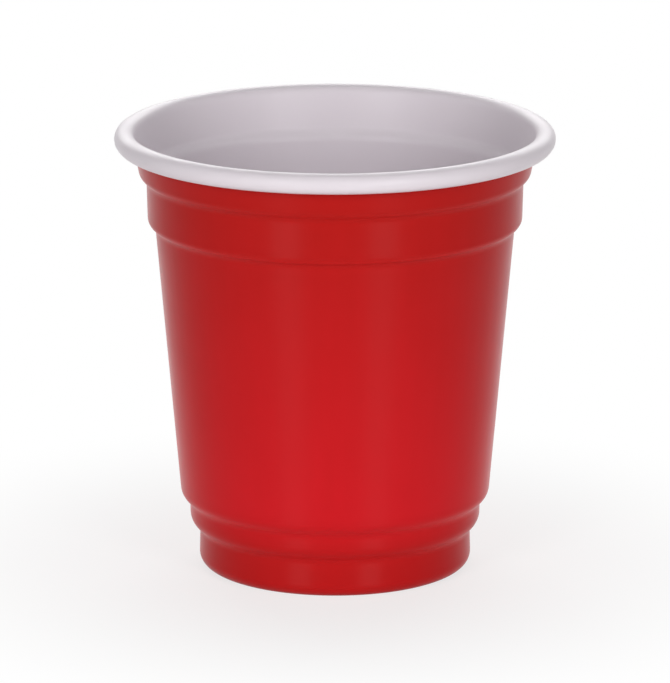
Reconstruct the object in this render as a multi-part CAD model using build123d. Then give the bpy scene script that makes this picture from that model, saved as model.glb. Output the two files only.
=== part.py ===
"""Plastic shot cup: one thermoformed sheet with a raised base, four rounded shoulders and a rolled rim.

All sizes are in millimetres. The cup stands on Z = 0 with its axis on Z, and its mouth faces +Z.
Diameters, steps and leans are those of the outside face, and the inside face lies one wall further in.
"""
import math
import os

from build123d import *

# Sheet
wall = 0.3

# Base: a flat ring to stand on, round a panel that is pushed up into the cup
standing_ring_width = 1.3
panel_rise = 1.0
panel_slope_width = 1.2

# Foot, the lowest tier, a little narrower at its top than at its bottom
foot_diameter = 31.8
foot_round = 1.45
foot_height = 4.55
foot_undercut = 0.12

# Hoop, the short tier over the foot
hoop_step = 1.15
hoop_shoulder = 1.7
hoop_height = 3.3
hoop_lean = 0.04

# Body, the tall plain cone that is gripped
body_step = 1.07
body_shoulder = 1.45
body_height = 32.8
body_lean = 2.8

# Band: in a stack its shoulder rests on the neck's shoulder in the cup below
band_step = 0.86
band_shoulder = 0.95
band_height = 5.55
band_lean = 0.12

# Neck, from the last shoulder up to where the rim starts to roll over
neck_step = 0.9
neck_shoulder = 0.95
neck_height = 4.8
neck_lean = 0.74

# Rolled rim: the sheet curls outwards and back down, until its cut edge stands just clear of the neck
roll_diameter = 2.35
roll_gap = 0.5


def base_and_foot():
    """The underside from the axis outwards and the foot's wall, and the point at the top of that wall."""
    foot_radius = foot_diameter / 2
    ring_inner_radius = foot_radius - foot_round - standing_ring_width
    panel_radius = ring_inner_radius - panel_slope_width
    foot_head = Vector(foot_radius - foot_undercut, foot_height)
    outline = FilletPolyline(
        (0, panel_rise),
        (panel_radius, panel_rise),
        (ring_inner_radius, 0),
        (foot_radius, 0),
        foot_head,
        radius=[0, 0, foot_round],
    )
    return outline.edges(), foot_head


def tier(crease, step, shoulder, height, lean):
    """A rounded shoulder outwards from the crease below it and the straight wall above, and that wall's top."""
    wall_foot = crease + Vector(step, shoulder)
    wall_head = crease + Vector(step + lean, height)
    shoulder_arc = TangentArc(wall_foot, crease, tangent=wall_foot - wall_head)
    return [shoulder_arc, Line(wall_foot, wall_head)], wall_head


def rolled_rim(neck_wall):
    """Section of the roll: the sheet's two faces as arcs about one centre, from the neck to the cut edge."""
    shown_radius = roll_diameter / 2
    hidden_radius = shown_radius - wall
    turn = 360 - math.degrees(math.acos((hidden_radius - roll_gap) / shown_radius))
    upwards = neck_wall % 1
    hidden_start = neck_wall @ 1
    shown_start = hidden_start + upwards.rotate(Axis.Z, 90) * wall
    hidden_face = JernArc(hidden_start, upwards, hidden_radius, -turn)
    shown_face = JernArc(shown_start, upwards, shown_radius, -turn)
    cut_edge = Line(hidden_face @ 1, shown_face @ 1)
    return make_face([hidden_face, cut_edge, shown_face, Line(shown_start, hidden_start)])


def cup():
    """The outside face as one section line, given its wall and its roll and turned about the axis."""
    base_edges, foot_head = base_and_foot()
    hoop_edges, hoop_head = tier(foot_head, hoop_step, hoop_shoulder, hoop_height, hoop_lean)
    body_edges, body_head = tier(hoop_head, body_step, body_shoulder, body_height, body_lean)
    band_edges, band_head = tier(body_head, band_step, band_shoulder, band_height, band_lean)
    neck_edges, _ = tier(band_head, neck_step, neck_shoulder, neck_height, neck_lean)
    outside = Wire([*base_edges, *hoop_edges, *body_edges, *band_edges, *neck_edges])
    section = make_face(outside.offset_2d(wall, Kind.INTERSECTION, Side.LEFT)) + rolled_rim(neck_edges[-1])
    return revolve(Plane.XZ * section, Axis.Z)


os.makedirs("parts", exist_ok=True)
export_step(cup(), "parts/cup.step")
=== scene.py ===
"""Studio view of the plastic shot cup: its formed two-colour sheet, a white floor, soft lamps and a camera.

Lengths are in metres and powers in watts, apart from the lengths that a comment gives in millimetres:
those of the cup's section, as on a drawing of it, and those of the lens.
"""
import math
from collections import namedtuple
from itertools import accumulate, pairwise

import bpy
from mathutils import Matrix, Vector


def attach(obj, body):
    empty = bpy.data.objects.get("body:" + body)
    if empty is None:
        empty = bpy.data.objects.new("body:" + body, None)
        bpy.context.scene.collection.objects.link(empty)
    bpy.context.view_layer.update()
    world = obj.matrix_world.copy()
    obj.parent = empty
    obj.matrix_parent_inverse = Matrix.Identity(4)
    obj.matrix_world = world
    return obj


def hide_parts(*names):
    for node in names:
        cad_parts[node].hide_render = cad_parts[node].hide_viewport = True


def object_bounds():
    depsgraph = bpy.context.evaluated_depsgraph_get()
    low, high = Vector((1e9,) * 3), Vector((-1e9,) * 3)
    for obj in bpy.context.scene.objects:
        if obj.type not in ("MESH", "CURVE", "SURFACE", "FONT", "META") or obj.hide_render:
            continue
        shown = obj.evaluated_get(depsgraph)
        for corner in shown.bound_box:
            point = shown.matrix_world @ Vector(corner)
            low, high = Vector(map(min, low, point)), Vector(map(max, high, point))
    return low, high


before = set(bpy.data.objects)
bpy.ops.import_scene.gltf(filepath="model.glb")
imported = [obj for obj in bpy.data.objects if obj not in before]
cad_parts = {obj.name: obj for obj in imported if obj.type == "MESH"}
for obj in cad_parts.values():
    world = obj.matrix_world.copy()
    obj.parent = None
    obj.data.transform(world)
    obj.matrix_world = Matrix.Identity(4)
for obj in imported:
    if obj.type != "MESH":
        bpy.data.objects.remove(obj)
cad_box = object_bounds()

MILLIMETRE = 0.001

# Section of the cup, in millimetres, on its outside face
wall = 0.3
standing_ring_width = 1.3
panel_rise = 1.0
panel_slope_width = 1.2
foot_diameter = 31.8
foot_round = 1.45
foot_height = 4.55
foot_undercut = 0.12
# Tiers over the foot: step outwards, height of the rounded shoulder, height of the tier, lean of its wall
Tier = namedtuple("Tier", "step shoulder height lean")
tiers = {
    "hoop": Tier(step=1.15, shoulder=1.7, height=3.3, lean=0.04),
    "body": Tier(step=1.07, shoulder=1.45, height=32.8, lean=2.8),
    "band": Tier(step=0.86, shoulder=0.95, height=5.55, lean=0.12),
    "neck": Tier(step=0.9, shoulder=0.95, height=4.8, lean=0.74),
}
roll_diameter = 2.35
roll_gap = 0.5

# Softness at the edges of the formed sheet, in millimetres: the radius at the two edges of the base panel,
# and how far the turn at a crease reaches along the sheet on either side of it
panel_edge_round = 0.9
crease_reach = 0.55

# Painted light at the creases, in millimetres, where the red is made a little paler to lighten the shade
# under each shoulder: how far over its crease the middle of that band lies, and how far it reaches up and
# down from there
painted_light_rise = 0.26
painted_light_reach = 0.55
tier_heights = [sizes.height for sizes in tiers.values()]
crease_heights = list(accumulate([foot_height, *tier_heights[:-1]]))

# Fineness of the turned mesh: steps about the axis, along an arc and along a crease
turn_steps = 256
arc_step = math.radians(7)
fewest_arc_steps = 2
crease_steps = 4
# Rows along a wall, in millimetres: their spacing, and how far the rows close to its ends are from them,
# which is at most a share of the wall's length
row_pitch = 2.5
end_row = 0.15
end_share = 0.25
# Points nearer to each other than this, in millimetres, are one point
same_point = 1e-4
# The first vertex of each ring is half a step round, so that the mesh stays inside the solid's box
first_step = 0.5

# Colours, as linear red, green and blue: each face near the rim and low on the body, then the ground. The
# red is deeper near the rim as painted shade under the rim, and paler low on the body as painted light from
# the floor below; the white is a little darker low down as painted shade deep inside the cup
shaded_rim_red = (0.455, 0.0095, 0.008)
lit_body_red = (0.645, 0.0115, 0.017)
rim_white = (0.80, 0.74, 0.785)
shaded_body_white = (0.78, 0.71, 0.755)
floor_white = (0.9, 0.9, 0.9)
plain_white = (1, 1, 1)

# Heights over the base between which the body's colour goes over into the rim's, which paints shade towards
# the rim and light low on the body, and how far the clouds and the marks in the sheet shift them
painted_shading_heights = (0.017, 0.052)
pattern_shift = 0.006
# The foot has less of the body's colour, which on the red is painted shade at the foot: its share, and the
# heights between which the share grows to 1
foot_share = 0.3
foot_heights = (0.003, 0.011)

# Patterns, in features to the metre with so many finer layers: clouds in the sheet, waves in its skin, and
# marks, which are so many times longer up the wall than across it
cloud_scale = 160
cloud_detail = 3
wave_scale = 500
wave_detail = 1
mark_scale = 900
mark_detail = 2
mark_stretch = 14
# Most of a pattern lies between these values
pattern_range = (0.3, 0.7)

# Plastic: its refractive index, the depth of the waves in its skin, and the quarter turn by which its gloss
# is smeared up the wall and not round it
plastic_ior = 1.55
skin_relief = 6e-6
smear_turn = 0.25
# Finish of each face: the range of its roughness, its specular level, how far its gloss is smeared, and how
# much painted light lifts its colour over the creases, against the shade there. The red's specular level is
# low, so that the white round the cup doesn't veil its colour. Roughness that varies across about 0.275
# denoises to wiggly lines, so both ranges lie above it.
red_finish = {"roughness": (0.28, 0.32), "specular": 0.07, "smear": 0.9, "painted_crease_lift": 0.16}
white_finish = {"roughness": (0.36, 0.42), "specular": 0.2, "smear": 0.2, "painted_crease_lift": 0}

# Floor: half its width, how far from the cup's axis its own shading has gone over into plain white, and the
# share of that shading at the foot. The even fill comes from all round.
floor_reach = 3.0
shading_radius = 0.065
shading_share = 0.27
even_fill = 0.03

# Lamps: two upright strips either side of the camera, a broad lamp behind that lights the floor and the rim,
# and a weak one overhead that lights the inside
strip_bearing = math.radians(29.5)
strip_distance = 0.8
strip_height = 0.25
strip_lamp = {"width": 0.25, "height": 0.48, "power": 2.9}
back_place = Vector((0, 0.97, 0.57))
back_lamp = {"width": 1.35, "height": 0.52, "power": 9.6}
overhead_place = Vector((0, 0, 1.1))
overhead_lamp = {"width": 1.0, "height": 1.0, "power": 1.3}

# Camera: the photograph's distance and height of view over the cup's base, how far over the cup's middle it
# aims, and its lens and film in millimetres
view_distance = 0.7108
view_height = 0.2074
aim_rise = 0.0005
lens_length = 332
film_width = 36


def left_of(direction):
    """The direction a quarter turn to the left, which is the sheet's inner side along the section."""
    return Vector((-direction.y, direction.x))


def straight(start, end):
    """A straight wall as rows of point and direction, with a row close to each end."""
    length = (end - start).length
    direction = (end - start).normalized()
    spans = max(1, round(length / row_pitch))
    edge = min(end_row, length * end_share)
    places = {0, edge, length - edge, length} | {length * k / spans for k in range(1, spans)}
    return [(start + direction * place, direction) for place in sorted(places)]


def arc(centre, start, turn):
    """An arc about a centre, turning left where turn is above 0, as rows of point and direction."""
    steps = max(fewest_arc_steps, math.ceil(abs(turn) / arc_step))
    rows = []
    for k in range(steps + 1):
        spoke = Matrix.Rotation(turn * k / steps, 2) @ (start - centre)
        direction = left_of(spoke).normalized() * math.copysign(1, turn)
        rows.append((centre + spoke, direction))
    return rows


def fillet(before, corner, after, radius):
    """The arc that rounds the corner between two straight runs."""
    arriving = (corner - before).normalized()
    leaving = (after - corner).normalized()
    turn = math.atan2(arriving.x * leaving.y - arriving.y * leaving.x, arriving.dot(leaving))
    start = corner - arriving * radius * math.tan(abs(turn) / 2)
    centre = start + left_of(arriving) * math.copysign(radius, turn)
    return arc(centre, start, turn)


def soft_crease(before, crease, after):
    """A small rounded turn from one point to another, drawn towards the crease between them."""
    rows = []
    for k in range(crease_steps + 1):
        t = k / crease_steps
        point = before * (1 - t) ** 2 + crease * 2 * t * (1 - t) + after * t**2
        direction = ((crease - before) * (1 - t) + (after - crease) * t).normalized()
        rows.append((point, direction))
    return rows


def base_and_foot():
    """The underside from the axis outwards and the foot's wall, and the crease at the top of that wall."""
    foot_radius = foot_diameter / 2
    ring_inner_radius = foot_radius - foot_round - standing_ring_width
    middle = Vector((0, panel_rise))
    panel_edge = Vector((ring_inner_radius - panel_slope_width, panel_rise))
    ring_edge = Vector((ring_inner_radius, 0))
    foot_corner = Vector((foot_radius, 0))
    crease = Vector((foot_radius - foot_undercut, foot_height))
    panel_turn = fillet(middle, panel_edge, ring_edge, panel_edge_round)
    ring_turn = fillet(panel_edge, ring_edge, foot_corner, panel_edge_round)
    foot_turn = fillet(ring_edge, foot_corner, crease, foot_round)
    crease_start = crease - (crease - foot_corner).normalized() * crease_reach
    rows = straight(middle, panel_turn[0][0]) + panel_turn
    rows += straight(panel_turn[-1][0], ring_turn[0][0]) + ring_turn
    rows += straight(ring_turn[-1][0], foot_turn[0][0]) + foot_turn
    rows += straight(foot_turn[-1][0], crease_start)
    return rows, crease


def tier(start, crease, sizes, runs_on):
    """A rounded shoulder outwards from the crease below it and the straight wall above, and that wall's top.

    The wall stops short of its top for the next crease, unless it runs on into the roll.
    """
    wall_foot = crease + Vector((sizes.step, sizes.shoulder))
    wall_head = crease + Vector((sizes.step + sizes.lean, sizes.height))
    upwards = (wall_head - wall_foot).normalized()
    chord = wall_foot - crease
    radius = -chord.length_squared / (2 * left_of(upwards).dot(chord))
    centre = wall_foot + left_of(upwards) * radius
    first, last = crease - centre, wall_foot - centre
    turn = math.atan2(first.x * last.y - first.y * last.x, first.dot(last))
    lead = crease_reach / radius
    shoulder_start = centre + Matrix.Rotation(lead, 2) @ first
    wall_end = wall_head if runs_on else wall_head - upwards * crease_reach
    rows = soft_crease(start, crease, shoulder_start)
    rows += arc(centre, shoulder_start, turn - lead)
    rows += straight(wall_foot, wall_end)
    return rows, wall_head


def rolled_rim(start, upwards):
    """The hidden face of the roll, from the neck round to the cut edge."""
    shown_radius = roll_diameter / 2
    hidden_radius = shown_radius - wall
    turn = math.acos((hidden_radius - roll_gap) / shown_radius) - 2 * math.pi
    return arc(start - left_of(upwards) * hidden_radius, start, turn)


def outside_rows():
    """The whole outside face of the sheet, from the axis to the cut edge, with no row twice."""
    rows, crease = base_and_foot()
    for name, sizes in tiers.items():
        tier_rows, crease = tier(rows[-1][0], crease, sizes, runs_on=name == "neck")
        rows += tier_rows
    rows += rolled_rim(*rows[-1])
    kept = rows[:1]
    for row in rows[1:]:
        if (row[0] - kept[-1][0]).length > same_point:
            kept.append(row)
    return kept


def closed_section():
    """The sheet's section, out along its outside and back along its inside, and the row of its cut edge."""
    outside = outside_rows()
    section = [point for point, _ in outside]
    section += [point + left_of(direction) * wall for point, direction in reversed(outside)]
    return section, len(outside) - 1


def shares_along(section):
    """How far along the section each of its points lies, from 0 to 1."""
    steps = [(second - first).length for first, second in pairwise(section)]
    travelled = list(accumulate(steps, initial=0.0))
    return [length / travelled[-1] for length in travelled]


def turned_rings(section):
    """Vertices of the section turned about the axis, and the numbers of those in each ring."""
    vertices, rings = [], []
    for point in section:
        count = turn_steps if point.x > same_point else 1
        rings.append(range(len(vertices), len(vertices) + count))
        for k in range(count):
            angle = 2 * math.pi * (k + first_step) / turn_steps
            place = Vector((point.x * math.cos(angle), point.x * math.sin(angle), point.y))
            vertices.append(place * MILLIMETRE)
    return vertices, rings


def turned_faces(rings, shares):
    """Faces from each ring to the next, and where their corners lie on the sheet as it is unrolled."""
    faces, corners = [], []
    for (lower, upper), (low, high) in zip(pairwise(rings), pairwise(shares)):
        for k in range(turn_steps):
            following = (k + 1) % turn_steps
            near, far = k / turn_steps, (k + 1) / turn_steps
            if len(lower) == 1:
                faces.append((lower[0], upper[following], upper[k]))
                corners += [((near + far) / 2, low), (far, high), (near, high)]
            elif len(upper) == 1:
                faces.append((lower[k], lower[following], upper[0]))
                corners += [(near, low), (far, low), ((near + far) / 2, high)]
            else:
                faces.append((lower[k], lower[following], upper[following], upper[k]))
                corners += [(near, low), (far, low), (far, high), (near, high)]
    return faces, corners


def turned_cup(outside_material, inside_material):
    """The closed sheet turned about the axis, with a material for each face and a map unrolled from it."""
    section, cut_row = closed_section()
    vertices, rings = turned_rings(section)
    faces, corners = turned_faces(rings, shares_along(section))
    outside_count = cut_row * turn_steps
    slots = [0] * outside_count + [1] * (len(faces) - outside_count)

    mesh = bpy.data.meshes.new("cup_shell")
    mesh.from_pydata(vertices, [], faces)
    mesh.materials.append(outside_material)
    mesh.materials.append(inside_material)
    mesh.polygons.foreach_set("material_index", slots)
    mesh.polygons.foreach_set("use_smooth", [True] * len(faces))
    unrolled = mesh.uv_layers.new(name="OFBake")
    unrolled.uv.foreach_set("vector", [number for corner in corners for number in corner])
    cut_edge = {*rings[cut_row], *rings[cut_row + 1]}
    for edge in mesh.edges:
        if cut_edge.issuperset(edge.vertices):
            edge.use_edge_sharp = True
    mesh.validate()

    cup = bpy.data.objects.new("cup_shell", mesh)
    bpy.context.scene.collection.objects.link(cup)
    return cup


def add_node(tree, kind, sockets=None, **settings):
    """A node with its settings, and its sockets set to values or linked from other nodes' outputs."""
    node = tree.nodes.new(kind)
    for name, value in settings.items():
        setattr(node, name, value)
    for name, value in (sockets or {}).items():
        if isinstance(value, bpy.types.NodeSocket):
            tree.links.new(value, node.inputs[name])
        else:
            node.inputs[name].default_value = value
    return node


def maths(tree, operation, *values):
    """The result of an operation on numbers."""
    return add_node(tree, "ShaderNodeMath", dict(enumerate(values)), operation=operation).outputs[0]


def vector_maths(tree, operation, *values):
    """The result of an operation on vectors."""
    return add_node(tree, "ShaderNodeVectorMath", dict(enumerate(values)), operation=operation).outputs[0]


def scaled(tree, vector, scale):
    """A vector times a number."""
    sockets = {0: vector, "Scale": scale}
    return add_node(tree, "ShaderNodeVectorMath", sockets, operation="SCALE").outputs[0]


def mapped(tree, value, source, target, interpolation="SMOOTHSTEP"):
    """A value taken from one range to another, and held at the ends."""
    sockets = {"Value": value, "From Min": source[0], "From Max": source[1]}
    sockets |= {"To Min": target[0], "To Max": target[1]}
    return add_node(tree, "ShaderNodeMapRange", sockets, interpolation_type=interpolation).outputs["Result"]


def noise(tree, place, scale, detail):
    """A noise pattern from 0 to 1."""
    sockets = {"Vector": place, "Scale": scale, "Detail": detail}
    return add_node(tree, "ShaderNodeTexNoise", sockets).outputs["Fac"]


def new_material(name):
    """A material with an empty node tree, and that tree."""
    material = bpy.data.materials.new(name)
    material.use_nodes = True
    material.node_tree.nodes.clear()
    return material, material.node_tree


def drawn_coordinates(tree, place):
    """Coordinates round the wall and up it, in which a pattern is drawn out along the wall."""
    flat = vector_maths(tree, "MULTIPLY", place, (1, 1, 0))
    spoke = vector_maths(tree, "NORMALIZE", flat)
    round_wall = scaled(tree, spoke, foot_diameter / 2 * MILLIMETRE)
    up_wall = vector_maths(tree, "MULTIPLY", place, (0, 0, 1 / mark_stretch))
    return vector_maths(tree, "ADD", round_wall, up_wall)


def painted_crease_light(tree, height):
    """Painted light over the shade at each crease: 1 in the middle of the band just over the crease, down to
    0 on the walls above and below it.
    """
    lines = 0.0
    for crease in crease_heights:
        above = maths(tree, "SUBTRACT", height, (crease + painted_light_rise) * MILLIMETRE)
        distance = maths(tree, "ABSOLUTE", above)
        line = mapped(tree, distance, (0, painted_light_reach * MILLIMETRE), (1, 0))
        lines = maths(tree, "ADD", lines, line)
    return lines


def sheet_colour(tree, place, clouds, rim_colour, body_colour, painted_crease_lift):
    """The colour of a face, from the rim down to the body and the foot, with clouds and marks, with painted
    shade and light that change with height, and with painted light over the creases.
    """
    height = add_node(tree, "ShaderNodeSeparateXYZ", {0: place}).outputs["Z"]
    marks = noise(tree, drawn_coordinates(tree, place), mark_scale, mark_detail)
    cloudy_height = maths(tree, "MULTIPLY_ADD", clouds, pattern_shift, height)
    uneven_height = maths(tree, "MULTIPLY_ADD", marks, pattern_shift, cloudy_height)
    # Painted shade and light: the rim's colour near the rim and at the foot, the body's colour low on the
    # body
    below_the_rim = mapped(tree, uneven_height, painted_shading_heights, (1, 0), "LINEAR")
    over_the_foot = mapped(tree, height, foot_heights, (foot_share, 1))
    body_share = maths(tree, "MULTIPLY", below_the_rim, over_the_foot)
    colour = add_node(tree, "ShaderNodeMix", {"Factor": body_share}, data_type="RGBA")
    colour.inputs["A"].default_value = (*rim_colour, 1)
    colour.inputs["B"].default_value = (*body_colour, 1)
    # Painted light: the colour is lifted in bands over the creases, where shade falls under the shoulders
    lift = maths(tree, "MULTIPLY_ADD", painted_crease_light(tree, height), painted_crease_lift, 1)
    return scaled(tree, colour.outputs["Result"], lift)


def sheet_material(name, rim_colour, body_colour, roughness, specular, smear, painted_crease_lift):
    """One face of the formed polystyrene sheet, with a gloss that the clouds make uneven and a wavy skin."""
    material, tree = new_material(name)
    place = add_node(tree, "ShaderNodeTexCoord").outputs["Object"]
    clouds = noise(tree, place, cloud_scale, cloud_detail)
    waves = noise(tree, place, wave_scale, wave_detail)
    skin = add_node(tree, "ShaderNodeBump", {"Height": waves, "Strength": 1, "Distance": skin_relief})
    sockets = {
        "Base Color": sheet_colour(tree, place, clouds, rim_colour, body_colour, painted_crease_lift),
        "Roughness": mapped(tree, clouds, pattern_range, roughness),
        "IOR": plastic_ior,
        "Specular IOR Level": specular,
        "Anisotropic": smear,
        "Anisotropic Rotation": smear_turn,
        "Tangent": add_node(tree, "ShaderNodeTangent", direction_type="RADIAL", axis="Z").outputs[0],
        "Normal": skin.outputs["Normal"],
    }
    shader = add_node(tree, "ShaderNodeBsdfPrincipled", sockets)
    add_node(tree, "ShaderNodeOutputMaterial", {"Surface": shader.outputs[0]})
    return material


def shown_directly(tree):
    """1 for what the camera sees straight, in a mirror or through glass, and 0 for light on the object."""
    path = add_node(tree, "ShaderNodeLightPath").outputs
    mirrored = maths(tree, "MAXIMUM", path["Is Camera Ray"], path["Is Glossy Ray"])
    return maths(tree, "MAXIMUM", mirrored, path["Is Transmission Ray"])


def floor_material():
    """White that keeps some of its own shading near the cup and goes over into plain white further off."""
    material, tree = new_material("white_floor")
    place = add_node(tree, "ShaderNodeTexCoord").outputs["Object"]
    distance = add_node(tree, "ShaderNodeVectorMath", {0: place}, operation="LENGTH").outputs["Value"]
    foot_radius = foot_diameter / 2 * MILLIMETRE
    paleness = mapped(tree, distance, (foot_radius, shading_radius), (1 - shading_share, 1))
    share = maths(tree, "MULTIPLY", paleness, shown_directly(tree))
    lit = add_node(tree, "ShaderNodeBsdfDiffuse", {"Color": (*floor_white, 1)}).outputs[0]
    plain = add_node(tree, "ShaderNodeEmission", {"Color": (*plain_white, 1), "Strength": 1}).outputs[0]
    both = add_node(tree, "ShaderNodeMixShader", {0: share, 1: lit, 2: plain}).outputs[0]
    add_node(tree, "ShaderNodeOutputMaterial", {"Surface": both})
    return material


def white_floor():
    """A square floor under the cup."""
    mesh = bpy.data.meshes.new("floor")
    corners = [(x * floor_reach, y * floor_reach, 0) for x, y in ((-1, -1), (1, -1), (1, 1), (-1, 1))]
    mesh.from_pydata(corners, [], [(0, 1, 2, 3)])
    mesh.materials.append(floor_material())
    floor = bpy.data.objects.new("floor", mesh)
    bpy.context.scene.collection.objects.link(floor)
    return floor


def white_surroundings():
    """A white background, and a faint even fill from it on the object."""
    world = bpy.data.worlds.new("studio")
    world.use_nodes = True
    bpy.context.scene.world = world
    tree = world.node_tree
    tree.nodes.clear()
    white = (*plain_white, 1)
    fill = add_node(tree, "ShaderNodeBackground", {"Color": white, "Strength": even_fill}).outputs[0]
    background = add_node(tree, "ShaderNodeBackground", {"Color": white, "Strength": 1}).outputs[0]
    parts = {0: shown_directly(tree), 1: fill, 2: background}
    both = add_node(tree, "ShaderNodeMixShader", parts).outputs[0]
    add_node(tree, "ShaderNodeOutputWorld", {"Surface": both})


def put_facing(name, data, place, target):
    """A lamp or a camera at a place, turned towards a target."""
    item = bpy.data.objects.new(name, data)
    item.location = place
    item.rotation_mode = "QUATERNION"
    item.rotation_quaternion = (target - place).to_track_quat("-Z", "Y")
    bpy.context.scene.collection.objects.link(item)
    return item


def soft_lamp(name, place, target, width, height, power):
    """A rectangular lamp that faces a target and isn't itself in the picture."""
    light = bpy.data.lights.new(name, "AREA")
    light.shape = "RECTANGLE"
    light.size = width
    light.size_y = height
    light.energy = power
    put_facing(name, light, place, target).visible_camera = False


def studio_lamps(target):
    """The two strips, the broad lamp behind and the weak one overhead, all turned towards a target."""
    across = strip_distance * math.sin(strip_bearing)
    towards_camera = strip_distance * math.cos(strip_bearing)
    for name, side in (("left_strip", -1), ("right_strip", 1)):
        strip_place = Vector((across * side, -towards_camera, strip_height))
        soft_lamp(name, strip_place, target, **strip_lamp)
    soft_lamp("broad_back", back_place, target, **back_lamp)
    soft_lamp("overhead", overhead_place, target, **overhead_lamp)


def photograph_camera(target):
    """A camera at the photograph's viewpoint that looks at a target."""
    camera = bpy.data.cameras.new("camera")
    camera.lens = lens_length
    camera.sensor_width = film_width
    place = Vector((0, -view_distance, view_height))
    bpy.context.scene.camera = put_facing("camera", camera, place, target)


outside_red = sheet_material("red_outside", shaded_rim_red, lit_body_red, **red_finish)
inside_white = sheet_material("white_inside", rim_white, shaded_body_white, **white_finish)
cup = turned_cup(outside_red, inside_white)
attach(cup, "root")
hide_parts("cup")

floor = white_floor()
white_surroundings()

cup_middle = (cad_box[0] + cad_box[1]) / 2
studio_lamps(cup_middle)
photograph_camera(cup_middle + Vector((0, 0, aim_rise)))

bpy.context.scene.view_settings.view_transform = "Standard"
